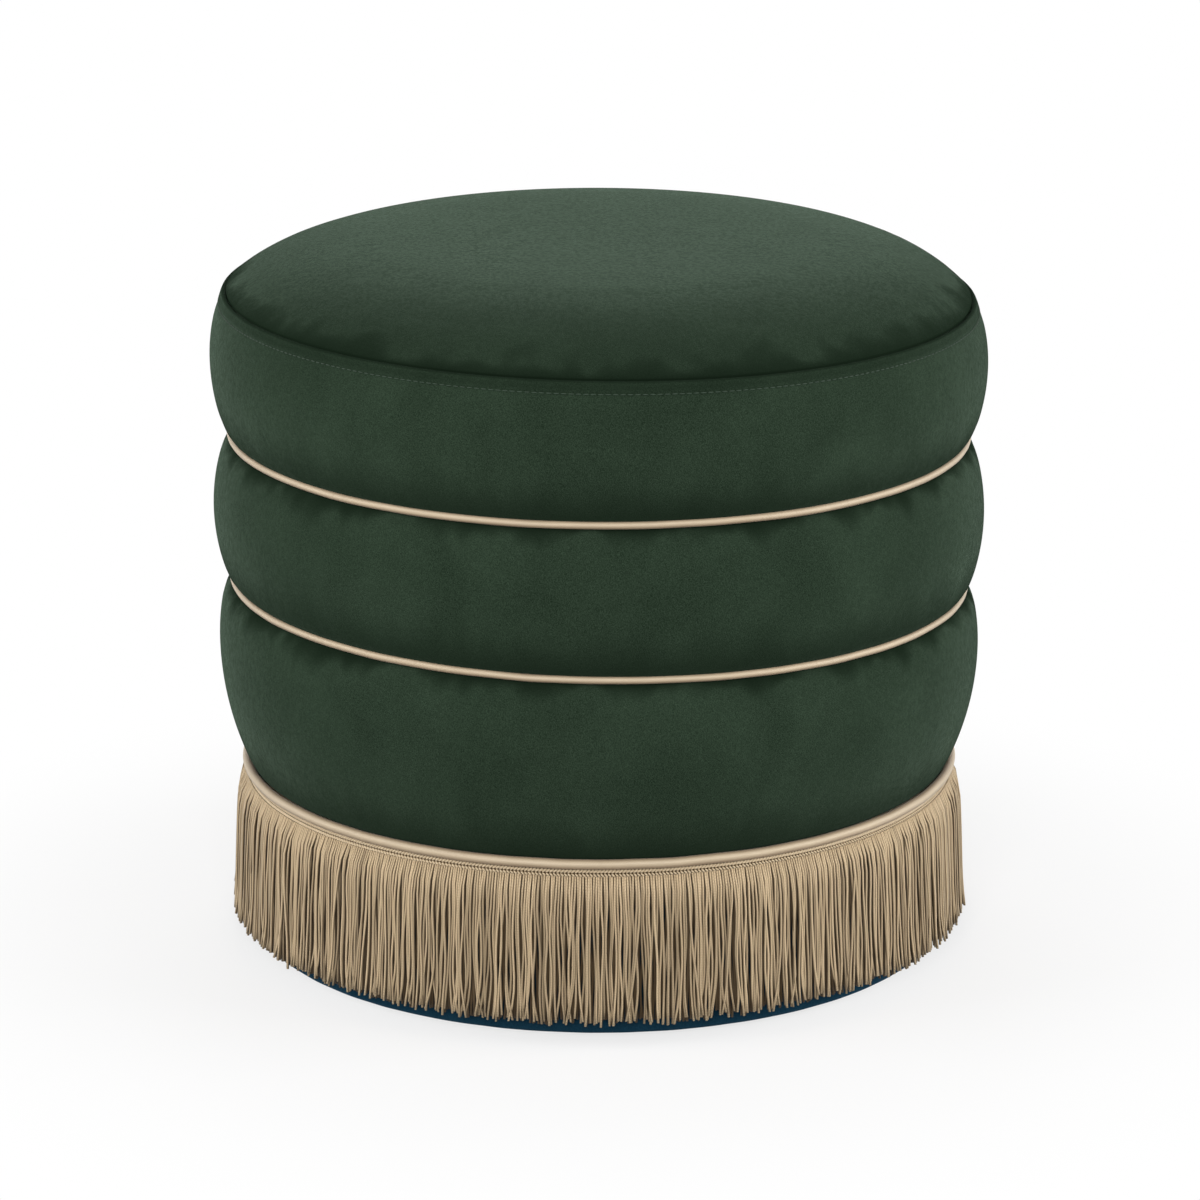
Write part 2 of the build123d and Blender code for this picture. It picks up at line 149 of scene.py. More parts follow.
# %% Finishes


class Finish:
    """A node material and its Principled shader, or the nodes of a world."""

    def __init__(self, name, world=None):
        self.material = world or bpy.data.materials.new(name)
        self.material.use_nodes = True
        self.tree = self.material.node_tree
        self.shader = self.tree.nodes.get("Principled BSDF")

    def node(self, kind, settings=None, inputs=None, output=0):
        """A node of that type, with its settings made first and then its sockets set or linked."""
        made = self.tree.nodes.new(kind)
        for key, value in (settings or {}).items():
            setattr(made, key, value)
        self.feed(made, inputs or {})
        return Shade(self, made.outputs[output])

    def feed(self, made, inputs):
        """Sets or links sockets of a node by name or number."""
        for key, value in inputs.items():
            if isinstance(value, Shade):
                self.tree.links.new(value.socket, made.inputs[key])
            else:
                made.inputs[key].default_value = value

    def math(self, operation, *values):
        """A Math node of that operation."""
        return self.node("ShaderNodeMath", {"operation": operation}, dict(enumerate(values)))

    def clamp(self, value, low, high):
        """The value as a share of the way from low to high, kept between 0 and 1."""
        return self.node(
            "ShaderNodeMapRange",
            {"interpolation_type": "SMOOTHSTEP"},
            {"Value": value, "From Min": low, "From Max": high},
        )

    def place(self):
        """Object coordinates, in metres."""
        return self.node("ShaderNodeTexCoord", output="Object")

    def attribute(self, name):
        """A number that a piece carries at each of its points."""
        return self.node("ShaderNodeAttribute", {"attribute_name": name}, output=2)

    def axes(self, vector):
        """The three parts of a vector."""
        split = self.node("ShaderNodeSeparateXYZ", inputs={0: vector})
        return [Shade(self, socket) for socket in split.socket.node.outputs]

    def clouds(self, vector, scale, detail=2.0, distortion=0.0):
        """Soft noise with that many features in a metre, around 0.5."""
        inputs = {"Vector": vector, "Scale": scale, "Detail": detail, "Distortion": distortion}
        return self.node("ShaderNodeTexNoise", inputs=inputs)

    def stretch(self, vector, scale):
        """A vector scaled along each axis, to draw a pattern out."""
        return self.node("ShaderNodeMapping", inputs={"Vector": vector, "Scale": scale})

    def mix(self, share, first, second):
        """A colour part of the way from the first to the second."""
        inputs = {0: share, 6: first, 7: second}
        return self.node("ShaderNodeMix", {"data_type": "RGBA"}, inputs, output=2)

    def bump(self, height, distance, strength):
        """A normal shaped by a height, whose full step is that many metres."""
        inputs = {"Height": height, "Distance": distance, "Strength": strength}
        return self.node("ShaderNodeBump", inputs=inputs)

    def shade(self, **inputs):
        """Sets or links the Principled shader's sockets, written with _ for each space."""
        self.feed(self.shader, {key.replace("_", " "): value for key, value in inputs.items()})
        return self.material


def cover_with(piece, material):
    """Gives a piece one material."""
    piece.data.materials.clear()
    piece.data.materials.append(material)


# %% [markdown]
# ## Velvet
#
# Velvet is a short dense pile on a woven back. Seen straight on it is dark, because light goes in
# between the hairs, and seen edge on it glows, which the sheen of the shader gives. Hands and packing
# stroke the pile into cloudy patches a few centimetres wide. The hairs are a grain of under a
# millimetre. Beside a seam the pile is crushed, and painted shade darkens it further where seams and
# the crease lie in shadow. Each piece marks both at its points.

# %% Velvet
# Features in a metre, from the cloudy patches down to single hairs.
PATCHES = 16
STROKES = 46
TUFTS = 420
HAIRS = 2400


def make_velvet(name, deep, stroked, glow):
    """A velvet in a dark colour, stroked in places to a lighter one, with a glow of its own tint."""
    velvet = Finish(name)
    where = velvet.place()
    patches = velvet.clouds(where, PATCHES, detail=4, distortion=0.8)
    brushed = velvet.clouds(velvet.stretch(where, (1, 1, 0.35)), STROKES, detail=3)
    tufts = velvet.clouds(velvet.stretch(where, (1, 1, 0.7)), TUFTS, detail=4)
    hairs = velvet.clouds(velvet.stretch(where, (1, 1, 0.6)), HAIRS, detail=2)
    crush_and_shade = velvet.attribute("crush_and_shade")
    lean = velvet.clamp(patches * 0.75 + brushed * 0.25, 0.30, 0.72)
    grain = velvet.clamp(hairs, 0.34, 0.66)
    nap = velvet.clamp(tufts, 0.36, 0.64)
    color = velvet.mix(lean * 0.24 + grain * 0.54 + nap * 0.22, deep, stroked)
    pile_normal = velvet.bump(hairs + patches * 1.5, 0.35 * MM, 0.6)
    velvet.shade(
        Base_Color=color,
        Roughness=0.86 + lean * 0.1,
        Specular_IOR_Level=0.0,
        Sheen_Weight=0.30,
        Sheen_Roughness=0.42,
        Sheen_Tint=glow,
        Normal=pile_normal,
    )
    flat_and_shaded_pile = velvet.node(
        "ShaderNodeBsdfDiffuse", inputs={"Color": deep, "Roughness": 1.0, "Normal": pile_normal}
    )
    standing = Shade(velvet, velvet.shader.outputs[0])
    # Crushed pile and painted shade beside the seams, with random pressed tufts, swap the sheen for the
    # flat dark pile.
    pressed_and_shaded = crush_and_shade + (1 - crush_and_shade) * nap * 0.36
    pile = velvet.node("ShaderNodeMixShader", inputs={0: pressed_and_shaded, 1: standing, 2: flat_and_shaded_pile})
    velvet.feed(velvet.tree.nodes["Material Output"], {"Surface": pile})
    return velvet.material


green_velvet = make_velvet(
    "green_velvet", (0.0084, 0.0162, 0.0090, 1), (0.0445, 0.0725, 0.0460, 1), (0.47, 0.64, 0.50, 1)
)
navy_velvet = make_velvet(
    "navy_velvet", (0.0050, 0.0220, 0.0390, 1), (0.0150, 0.0570, 0.0940, 1), (0.25, 0.45, 0.65, 1)
)

# %% [markdown]
# ## Spinning a section
#
# Every large piece is round, so each is drawn as half a section, a chain of points, and spun once about
# the drum's axis. A plane shrunk to one point starts the chain, each further point is extruded from the
# last, and Spin turns the chain into a skin.

# %% Spinning a section
MEETING = 0.05 * MM


def arc_points(center, radius, start, end, spacing):
    """Points (radius, height) along an arc, at about that spacing, from its start to its end."""
    count = max(2, ceil(abs(end - start) * radius / spacing))
    angles = [start + (end - start) * i / count for i in range(count + 1)]
    return [(center[0] + radius * cos(angle), center[1] + radius * sin(angle)) for angle in angles]


def chain(*runs):
    """Runs of points joined into one outline, with meeting points taken once."""
    outline = []
    for point in (point for run in runs for point in run):
        if not outline or hypot(point[0] - outline[-1][0], point[1] - outline[-1][1]) > MEETING:
            outline.append(point)
    return outline


def even_run(start, end, spacing):
    """Points along a straight run, at about that spacing."""
    count = max(1, ceil(hypot(end[0] - start[0], end[1] - start[1]) / spacing))
    return [
        (start[0] + (end[0] - start[0]) * i / count, start[1] + (end[1] - start[1]) * i / count)
        for i in range(count + 1)
    ]


def spin_outline(name, outline, steps):
    """Extrudes an outline point by point, spins it round the drum's axis and faces it outwards."""
    bpy.ops.object.select_all(action="DESELECT")
    bpy.ops.mesh.primitive_plane_add(size=MM)
    piece = bpy.context.object
    piece.name = name
    piece.data.name = name
    bpy.ops.object.mode_set(mode="EDIT")
    bpy.ops.mesh.merge(type="CENTER")
    bpy.ops.transform.translate(value=(outline[0][0], 0, outline[0][1]))
    for (r0, z0), (r1, z1) in zip(outline, outline[1:]):
        bpy.ops.mesh.extrude_vertices_move(TRANSFORM_OT_translate={"value": (r1 - r0, 0, z1 - z0)})
    bpy.ops.mesh.select_all(action="SELECT")
    bpy.ops.mesh.spin(steps=steps, angle=tau, center=(0, 0, 0), axis=(0, 0, 1))
    bpy.ops.mesh.select_all(action="SELECT")
    bpy.ops.mesh.remove_doubles(threshold=0.01 * MM)
    bpy.ops.mesh.normals_make_consistent(inside=False)
    bpy.ops.object.mode_set(mode="OBJECT")
    bpy.ops.object.shade_smooth()
    return piece


# %% [markdown]
# Arrays are quicker than loops, so a mesh's points are read and written all at once. A piece can also
# carry a number at each point, which its finish reads.

# %% Points as arrays


def points_of(piece):
    """A mesh's points as an array."""
    points = np.empty(len(piece.data.vertices) * 3)
    piece.data.vertices.foreach_get("co", points)
    return points.reshape(-1, 3)


def set_points(piece, points):
    """Moves a mesh's points."""
    piece.data.vertices.foreach_set("co", points.astype(np.float32).ravel())
    piece.data.update()


def mark_points(piece, name, values):
    """Gives each point of a piece a number under that name."""
    marks = piece.data.attributes.new(name, "FLOAT", "POINT")
    marks.data.foreach_set("value", values.astype(np.float32).ravel())


def apply_modifiers(piece):
    """Applies each modifier of a piece in turn."""
    bpy.ops.object.select_all(action="DESELECT")
    bpy.context.view_layer.objects.active = piece
    piece.select_set(True)
    for modifier in list(piece.modifiers):
        bpy.ops.object.modifier_apply(modifier=modifier.name)


# %% [markdown]
# ## Crushed pile and painted seam shade
#
# Sewing crushes the pile beside a seam, and the cloth gathers there. The dark band along a seam is that
# crushed pile plus painted shade, uneven and running out into small puckers. Smooth noise round the
# drum sets how far each one reaches.

# %% Crushed pile and painted shade
WIDE_PUCKERS = 40
NARROW_PUCKERS = 95
NARROW_SHARE = 0.6
LEAST_REACH = 0.35
MOST_REACH = 2.4


def mark_crush_and_shade(piece, seams, worn_and_shaded=0.0):
    """Marks how far the pile is crushed and painted in shade beside seams.

    Each seam has a height, a reach up, a reach down, a strength and a pucker, which is how unevenly
    the reach runs round the drum.
    """
    points = points_of(piece)
    heights = points[:, 2]
    wide = np.array([noise.noise(Vector((x, y, 0)) * WIDE_PUCKERS) for x, y, _ in points])
    narrow = np.array([noise.noise(Vector((x, y, 1)) * NARROW_PUCKERS) for x, y, _ in points])
    gathers = wide + NARROW_SHARE * narrow
    crush_and_shade = np.full(len(heights), worn_and_shaded)
    for seam, reach_up, reach_down, strength, pucker in seams:
        uneven = np.clip(1 + pucker * gathers, LEAST_REACH, MOST_REACH)
        reach = np.where(heights > seam, reach_up, reach_down) * uneven
        nearness = np.clip(1 - np.abs(heights - seam) / reach, 0, 1)
        crush_and_shade = np.maximum(crush_and_shade, strength * nearness * nearness * (3 - 2 * nearness))
    mark_points(piece, "crush_and_shade", crush_and_shade)


# %% [markdown]
# ## Seams that aren't quite level
#
# The bands are sewn and stapled by hand, so a seam dips by a few millimetres from one side of the drum
# to the other. What lies between two seams tilts by a share of each.

# %% Seams that aren't quite level
SEAM_HEIGHTS = [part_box(name)[0].z for name in ("lower_band", "middle_band", "upper_band", "top_panel")]
SEAM_HEIGHTS.append(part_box("top_panel")[1].z)
SEAM_SLOPES = [0, -0.0165, -0.0070, -0.0150, 0]


def slump(piece):
    """Tilts each seam by its own small slope, and what lies between with them."""
    points = points_of(piece)
    points[:, 2] += points[:, 0] * np.interp(points[:, 2], SEAM_HEIGHTS, SEAM_SLOPES)
    set_points(piece, points)


print("seam heights", [round(height / MM, 1) for height in SEAM_HEIGHTS], "mm")

# %% [markdown]
# ## Letting the padding fill the velvet
#
# An upholstered roll is a band of cloth held at two seams with foam pushing from inside. A few frames
# of cloth simulation with inside pressure do the same: the held points stay, the cloth between them
# fills, and a little slack gathers beside the seams. No point may move further than a set limit, so
# the rolls keep their drawn size.

# %% Letting the padding fill the velvet
CLOTH_FRAMES = 20
CLOTH_SETTINGS = {
    "quality": 6,
    "mass": 0.2,
    "tension_stiffness": 12,
    "compression_stiffness": 12,
    "shear_stiffness": 6,
    "bending_stiffness": 0.4,
}


def fill_with_padding(piece, held, pressure, slack, limit):
    """Runs the cloth under pressure with the held points fixed, keeps every move within the limit."""
    before = points_of(piece)
    group = piece.vertex_groups.new(name="held")
    group.add([int(i) for i in np.flatnonzero(held(before))], 1.0, "REPLACE")
    cloth = piece.modifiers.new("padding", "CLOTH")
    for setting, value in CLOTH_SETTINGS.items():
        setattr(cloth.settings, setting, value)
    cloth.settings.shrink_min = -slack
    cloth.settings.use_pressure = True
    cloth.settings.uniform_pressure_force = pressure
    cloth.settings.vertex_group_mass = group.name
    cloth.settings.effector_weights.gravity = 0
    cloth.collision_settings.use_collision = False
    cloth.point_cache.frame_end = CLOTH_FRAMES
    for number in range(1, CLOTH_FRAMES + 1):
        bpy.context.scene.frame_set(number)
    apply_modifiers(piece)
    bpy.context.scene.frame_set(1)
    piece.vertex_groups.clear()
    moves = points_of(piece) - before
    far = np.linalg.norm(moves, axis=1)
    share = limit * np.tanh(far / limit) / np.maximum(far, 1e-9)
    set_points(piece, before + moves * share[:, None])
    print(piece.name, "filled, largest move", round(float(far.max()) / MM, 2), "mm before the limit")


def smooth_over(piece):
    """One level of subdivision, which turns the facets of a spun skin into cloth."""
    subdivision = piece.modifiers.new("cloth", "SUBSURF")
    subdivision.levels = 1
    subdivision.render_levels = 1
    apply_modifiers(piece)


# %% [markdown]
# ## The middle and lower rolls
#
# Each roll's section is two arcs a side: a wide one for the belly and a small one where the velvet
# turns in to its seam, tighter below, where the padding sags over the piping. The sizes come from the
# CAD bands, so the rolls fill the same space.

# %% The middle and lower rolls
FRAME_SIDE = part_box("deck_board")[1].x + 0.6 * MM
ROW = 3.6 * MM
ROLL_STEPS = 360
BELLY = 110 * MM
HEM_BELLY = 160 * MM
GROOVE_CORNER = 14 * MM
SAG_CORNER = 9 * MM
HEM_CORNER = 5 * MM
WIDEST_ABOVE_SEAM = {"lower": 72.2 * MM, "middle": 42.2 * MM, "upper": 43.2 * MM}
SEAM_REACH = 0.225 * GROOVE_CORNER
ROLL_FILLING = {"pressure": 1.6, "slack": 0.0015, "limit": 0.8 * MM}
# Crushed pile and painted shade at a roll's lower and upper seam: reach up, reach down, strength and
# pucker.
LOW_CRUSH_AND_SHADE = (33 * MM, MM, 0.70, 0.3)
HIGH_CRUSH_AND_SHADE = (MM, 10.5 * MM, 1.0, 1.3)


def flank(radius, widest, seam, belly, corner):
    """Half a roll's section, from its widest line to where the velvet turns in to the frame."""
    up = 1 if seam > widest else -1
    tilt = asin((abs(seam - widest) - corner) / (belly - corner))
    corner_center = (radius - belly + (belly - corner) * cos(tilt), seam - up * corner)
    return chain(
        arc_points((radius - belly, widest), belly, 0, up * tilt, ROW),
        arc_points(corner_center, corner, up * tilt, up * pi / 2, ROW / 2),
        even_run((corner_center[0], seam), (FRAME_SIDE, seam), 2 * ROW),
    )


def on_frame(points):
    """Which points lie against the frame."""
    return np.hypot(points[:, 0], points[:, 1]) < FRAME_SIDE + 2 * MM


def make_roll(name, low_belly, low_corner):
    """A padded roll between two seams, in place of its CAD band and padding."""
    low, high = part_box(name + "_band")
    widest = low.z + WIDEST_ABOVE_SEAM[name]
    lower_half = flank(high.x, widest, low.z, low_belly, low_corner)
    upper_half = flank(high.x, widest, high.z, BELLY, GROOVE_CORNER)
    inside = even_run((FRAME_SIDE, high.z), (FRAME_SIDE, low.z), 5 * ROW)
    roll = spin_outline(name + "_roll", chain(lower_half[::-1], upper_half, inside), ROLL_STEPS)

    def held(points):
        height = points[:, 2]
        return on_frame(points) | (height < low.z + SEAM_REACH) | (height > high.z - SEAM_REACH)

    fill_with_padding(roll, held, **ROLL_FILLING)
    smooth_over(roll)
    mark_crush_and_shade(roll, [(low.z, *LOW_CRUSH_AND_SHADE), (high.z, *HIGH_CRUSH_AND_SHADE)])
    slump(roll)
    cover_with(roll, green_velvet)
    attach(roll, "root")
    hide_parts(name + "_band", name + "_roll_foam", name + "_roll_wadding")
    print(roll.name, "points", len(roll.data.vertices))


make_roll("lower", HEM_BELLY, HEM_CORNER)
make_roll("middle", BELLY, SAG_CORNER)

# %% [markdown]
# ## The upper roll and its felled seam
#
# The upper band is sewn to the seat's top panel. The seam's edges are folded down behind the band and
# stitched through, so a narrow strip just below the crease stands a little proud, with a row of
# stitches sunk along its lower edge.

# %% The upper roll's shoulder
CREASE_INSET = 8 * MM
CREASE_DEPTH = 6 * MM
FELL_HEIGHT = 7.4 * MM

band_low, band_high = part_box("upper_band")
UPPER_RADIUS = band_high.x
CREASE_HEIGHT = band_high.z
CREASE_RADIUS = UPPER_RADIUS - CREASE_INSET
CREASE_FLOOR = CREASE_HEIGHT - CREASE_DEPTH
UPPER_WIDEST = band_low.z + WIDEST_ABOVE_SEAM["upper"]
SHOULDER_RISE = CREASE_HEIGHT - UPPER_WIDEST
SHOULDER = (SHOULDER_RISE**2 + CREASE_INSET**2) / (2 * CREASE_INSET)
SHOULDER_CENTER = (UPPER_RADIUS - SHOULDER, UPPER_WIDEST)
CREASE_LEAN = asin(SHOULDER_RISE / SHOULDER)
STITCH_LEAN = CREASE_LEAN - FELL_HEIGHT / SHOULDER


def shoulder_point(lean, proud=0.0):
    """A point on the upper roll's shoulder, so far round it and standing so far proud."""
    reach = SHOULDER + proud
    return SHOULDER_CENTER[0] + reach * cos(lean), SHOULDER_CENTER[1] + reach * sin(lean)


print("shoulder radius", round(SHOULDER / MM, 1), "mm")

# %% [markdown]
# Going up the shoulder, the section sinks into the row of stitches, steps up on to the folded strip and
# rolls over into the crease.

# %% The upper roll's section
FELL_RISE = 0.5 * MM
STITCH_SINK = 0.7 * MM
STITCH_GROOVE = 1.6 * MM
SHOULDER_END = -2.2
# Groove widths past the stitches, and how far the velvet stands proud there.
FELL_PROFILE = [
    (-1.2, -0.15 * STITCH_SINK),
    (-0.5, -0.6 * STITCH_SINK),
    (0.0, -STITCH_SINK),
    (0.5, 0.1 * FELL_RISE),
    (1.1, 0.9 * FELL_RISE),
    (2.6, FELL_RISE),
]
CREASE_TUCK = 3.0 * MM
ROLL_OVER_END = radians(170)

groove = STITCH_GROOVE / SHOULDER
roll_over = CREASE_TUCK * 0.5
roll_over_lean = CREASE_LEAN - roll_over / SHOULDER
roll_over_center = shoulder_point(roll_over_lean, FELL_RISE - roll_over)
fell = [shoulder_point(STITCH_LEAN + step * groove, proud) for step, proud in FELL_PROFILE]
upper_outline = chain(
    flank(UPPER_RADIUS, UPPER_WIDEST, band_low.z, BELLY, SAG_CORNER)[::-1],
    arc_points(SHOULDER_CENTER, SHOULDER, 0, STITCH_LEAN + SHOULDER_END * groove, ROW),
    fell,
    arc_points(roll_over_center, roll_over, roll_over_lean, ROLL_OVER_END, 0.7 * MM),
    even_run((roll_over_center[0] - roll_over, CREASE_FLOOR), (FRAME_SIDE, CREASE_FLOOR), ROW),
    even_run((FRAME_SIDE, CREASE_FLOOR), (FRAME_SIDE, band_low.z), 5 * ROW),
)
print("upper roll, points in its section", len(upper_outline))

# %% The upper roll
UPPER_SEAM_REACH = 0.22 * GROOVE_CORNER
STRIP_REACH = FELL_HEIGHT + 3 * MM
STRIP_MIDDLE = CREASE_HEIGHT - FELL_HEIGHT / 2
# Crushed pile and painted shade at the groove's seam, a painted dark line at the crease and painted
# shade on the folded strip.
UPPER_CRUSH_AND_SHADE = [
    (band_low.z, 29 * MM, MM, 0.70, 0.3),
    (CREASE_HEIGHT, 3 * MM, 2.4 * MM, 0.9, 0.2),
    (STRIP_MIDDLE, FELL_HEIGHT, 0.6 * FELL_HEIGHT, 0.45, 0.0),
]


def held_upper(points):
    """Fixed while the padding fills the upper roll: the inside, the groove's seam and the strip."""
    strip = points[:, 2] > CREASE_HEIGHT - STRIP_REACH
    return on_frame(points) | strip | (points[:, 2] < band_low.z + UPPER_SEAM_REACH)


upper_roll = spin_outline("upper_roll", upper_outline, ROLL_STEPS)
fill_with_padding(upper_roll, held_upper, **ROLL_FILLING)
smooth_over(upper_roll)
mark_crush_and_shade(upper_roll, UPPER_CRUSH_AND_SHADE)
slump(upper_roll)
cover_with(upper_roll, green_velvet)
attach(upper_roll, "root")
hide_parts("upper_band", "upper_roll_foam")
print("upper roll points", len(upper_roll.data.vertices))

# %% [markdown]
# ## The seat's top panel
#
# The top is a disc of velvet over crowned foam: nearly flat in the middle, and falling away ever
# faster towards the crease, where it is tucked under. A spun skin would crowd its faces at the pole,
# so only the rim is spun and the middle is an even grid, lifted to the same curve.

# %% The rim of the panel
CROWN_POWER = 6
PANEL_STEPS = 288
GRID_RADIUS = 120 * MM
RIM_ROWS = 36
TUCK_LIFT = 0.2 * MM
TUCK_SEARCH = 0.05 * MM

panel_low, panel_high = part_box("top_panel")
CROWN = panel_high.z - panel_low.z


def crown_height(radius):
    """Height of the velvet over the foam at that distance from the axis."""
    return panel_high.z - CROWN * (radius / CREASE_RADIUS) ** CROWN_POWER


def crown_slope(radius):
    """How steeply the velvet falls there, as an angle."""
    return atan(CROWN_POWER * CROWN / CREASE_RADIUS * (radius / CREASE_RADIUS) ** (CROWN_POWER - 1))


tuck = CREASE_TUCK
tuck_start = CREASE_RADIUS
while crown_height(tuck_start) - tuck * cos(crown_slope(tuck_start)) < CREASE_HEIGHT + TUCK_LIFT:
    tuck_start -= TUCK_SEARCH
lean = crown_slope(tuck_start)
tuck_center = (tuck_start - tuck * sin(lean), crown_height(tuck_start) - tuck * cos(lean))
under = CREASE_HEIGHT + TUCK_LIFT - tuck
panel_outline = chain(
    even_run((GRID_RADIUS, under), (tuck_center[0], under), 12 * ROW),
    arc_points(tuck_center, tuck, radians(-90), pi / 2 - lean, 0.8 * MM),
    [(radius, crown_height(radius)) for radius in np.linspace(tuck_start, GRID_RADIUS, RIM_ROWS)],
)
panel_rim = spin_outline("panel_rim", panel_outline, PANEL_STEPS)
print("panel tucked in from", round(tuck_start / MM, 1), "mm")

# %% [markdown]
# The middle starts as a square grid with as many edges round it as the rim has steps. Each square
# ring of the grid is turned into a round one, so its border meets the rim point for point. A flat
# copy closes the underside.

# %% The middle of the panel
side_edges = PANEL_STEPS // 4
bpy.ops.object.select_all(action="DESELECT")
bpy.ops.mesh.primitive_grid_add(x_subdivisions=side_edges, y_subdivisions=side_edges, size=2)
seat_panel = bpy.context.object
seat_panel.name = "seat_panel"
seat_panel.data.name = "seat_panel"
square = points_of(seat_panel)
across, along = square[:, 0], square[:, 1]
sideways = np.abs(across) >= np.abs(along)
longer = np.where(sideways, across, along)
shorter = np.where(sideways, along, across)
quarter = pi / 4 * shorter / np.where(np.abs(longer) < 1e-9, 1, longer)
turn = np.where(sideways, quarter, pi / 2 - quarter)
ring = longer * GRID_RADIUS
lift = crown_height(np.abs(ring))
bpy.ops.object.duplicate()
panel_base = bpy.context.object
disc_x = ring * np.cos(turn)
disc_y = ring * np.sin(turn)
set_points(panel_base, np.column_stack([disc_x, disc_y, 0 * ring + under]))
set_points(seat_panel, np.column_stack([disc_x, disc_y, lift]))
panel_rim.select_set(True)
seat_panel.select_set(True)
bpy.context.view_layer.objects.active = seat_panel
bpy.ops.object.join()
bpy.ops.object.mode_set(mode="EDIT")
bpy.ops.mesh.select_all(action="SELECT")
bpy.ops.mesh.remove_doubles(threshold=0.1 * MM)
bpy.ops.mesh.normals_make_consistent(inside=False)
bpy.ops.object.mode_set(mode="OBJECT")
bpy.ops.object.shade_smooth()
print("seat panel, points before filling", len(seat_panel.data.vertices))

# %% The filled panel
PANEL_HELD = 1.2 * MM
# Painted shade on the panel's edge as it falls into the crease: a narrow dark line and a wider, uneven
# darkening.
PANEL_CRUSH_AND_SHADE = [
    (CREASE_HEIGHT, 4 * MM, 3 * MM, 1.0, 0.5),
    (CREASE_HEIGHT, 15 * MM, 3 * MM, 0.85, 1.1),
]
# The whole seat is a little darker and duller, partly worn pile and partly painted shade.
SEAT_WEAR_AND_SHADE = 0.22


def held_panel(points):
    """Fixed while the padding fills the seat: the tucked edge and the underside."""
    return points[:, 2] < CREASE_HEIGHT + PANEL_HELD


fill_with_padding(seat_panel, held_panel, pressure=1.0, slack=0.0, limit=0.15 * MM)
smooth_over(seat_panel)
mark_crush_and_shade(seat_panel, PANEL_CRUSH_AND_SHADE, SEAT_WEAR_AND_SHADE)
slump(seat_panel)
cover_with(seat_panel, green_velvet)
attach(seat_panel, "root")
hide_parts("top_panel", "seat_foam", "seat_wadding")
print("seat panel points", len(seat_panel.data.vertices))

# %% [markdown]
# ## Topstitching
#
# The seam's fell is held by a row of stitches. One stitch is a short rounded thread, modelled once
# from a ball, and the row is copies of it set round the groove.

# %% Topstitching
STITCH_PITCH = 4.0 * MM
STITCH_LENGTH = 3.1 * MM
STITCH_WIDTH = 0.62 * MM


def round_the_drum(radius, angle, height):
    """Points from their distance to the axis, their angle and height, a row of them for each copy."""
    return np.stack([radius * np.cos(angle), radius * np.sin(angle), height + 0 * angle], axis=2)


def copies_of(pattern, places, name):
    """One mesh of many copies of a pattern, whose points are given for each copy in turn."""
    size = len(pattern.data.vertices)
    faces = [list(polygon.vertices) for polygon in pattern.data.polygons]
    all_faces = [[i + size * n for i in face] for n in range(len(places)) for face in faces]
    mesh = bpy.data.meshes.new(name)
    mesh.from_pydata(places.reshape(-1, 3).tolist(), [], all_faces)
    mesh.update()
    piece = bpy.data.objects.new(name, mesh)
    bpy.context.collection.objects.link(piece)
    bpy.ops.object.select_all(action="DESELECT")
    bpy.data.objects.remove(pattern)
    bpy.context.view_layer.objects.active = piece
    piece.select_set(True)
    bpy.ops.object.shade_smooth()
    return piece


bpy.ops.object.select_all(action="DESELECT")
bpy.ops.mesh.primitive_uv_sphere_add(segments=6, ring_count=6, radius=1)
stitch = bpy.context.object
unit = points_of(stitch)
groove_point = shoulder_point(STITCH_LEAN, 0.15 * STITCH_WIDTH)
stitch_count = round(tau * groove_point[0] / STITCH_PITCH)
turns = np.arange(stitch_count) * tau / stitch_count
half = unit * STITCH_WIDTH / 2
outward = half[:, 0] * cos(STITCH_LEAN) - half[:, 1] * sin(STITCH_LEAN)
upward = half[:, 0] * sin(STITCH_LEAN) + half[:, 1] * cos(STITCH_LEAN)
angle = turns[:, None] + unit[None, :, 2] * STITCH_LENGTH / 2 / groove_point[0]
stitch_row = round_the_drum(groove_point[0] + outward[None, :], angle, groove_point[1] + upward[None, :])
topstitch = copies_of(stitch, stitch_row, "topstitch")
slump(topstitch)
thread = Finish("stitch_thread")
thread.shade(Base_Color=(0.038, 0.060, 0.041, 1), Roughness=0.6, Specular_IOR_Level=0.2)
cover_with(topstitch, thread.material)
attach(topstitch, "root")
print("topstitch, stitches", stitch_count)

# %% [markdown]
# ## Piping
#
# Piping is a cotton cord wrapped in a strip of cloth cut on the bias. It lies in the groove between
# two rolls, so only its round outer side shows and a plain ring will do, pushed a little up and down as
# hand-stapled piping is. The satin's slanting weave is in the finish. A painted highlight runs along the
# line that faces out and up, and painted shade makes the cloth browner where it turns in to the groove.

# %% The piping's satin
SATIN_RIBS = 1500
RIB_SLANT = 9

satin = Finish("piping_satin")
weave_u, weave_v, _ = satin.axes(satin.node("ShaderNodeTexCoord", output="UV"))
ribs = satin.math("SINE", (weave_u * SATIN_RIBS + weave_v * RIB_SLANT) * tau) * 0.5 + 0.5
rubbed = satin.clouds(satin.place(), 60, detail=3)
painted_highlight = satin.attribute("painted_highlight")
# Painted highlight: the marked line runs to the pale colour, and the cord's edges in the groove to the
# dark one as painted shade.
highlight_and_wear = painted_highlight * (0.64 + rubbed * 0.36 + ribs * 0.18)
satin.shade(
    Base_Color=satin.mix(highlight_and_wear, (0.275, 0.195, 0.120, 1), (0.590, 0.478, 0.330, 1)),
    Roughness=0.34 + rubbed * 0.15,
    Specular_IOR_Level=0.4,
    Sheen_Weight=0.1,
    Normal=satin.bump(ribs + rubbed * 2, 0.12 * MM, 0.6),
)

# %% Piping
PIPING_SWAY = 0.35 * MM
SWAY_FINENESS = 38
PIPING_PULL = {"upper": 0.93, "lower": 0.93, "hem": 1.0}
PAINTED_HIGHLIGHT_TILT = radians(22)
PAINTED_HIGHLIGHT_POWER = 4


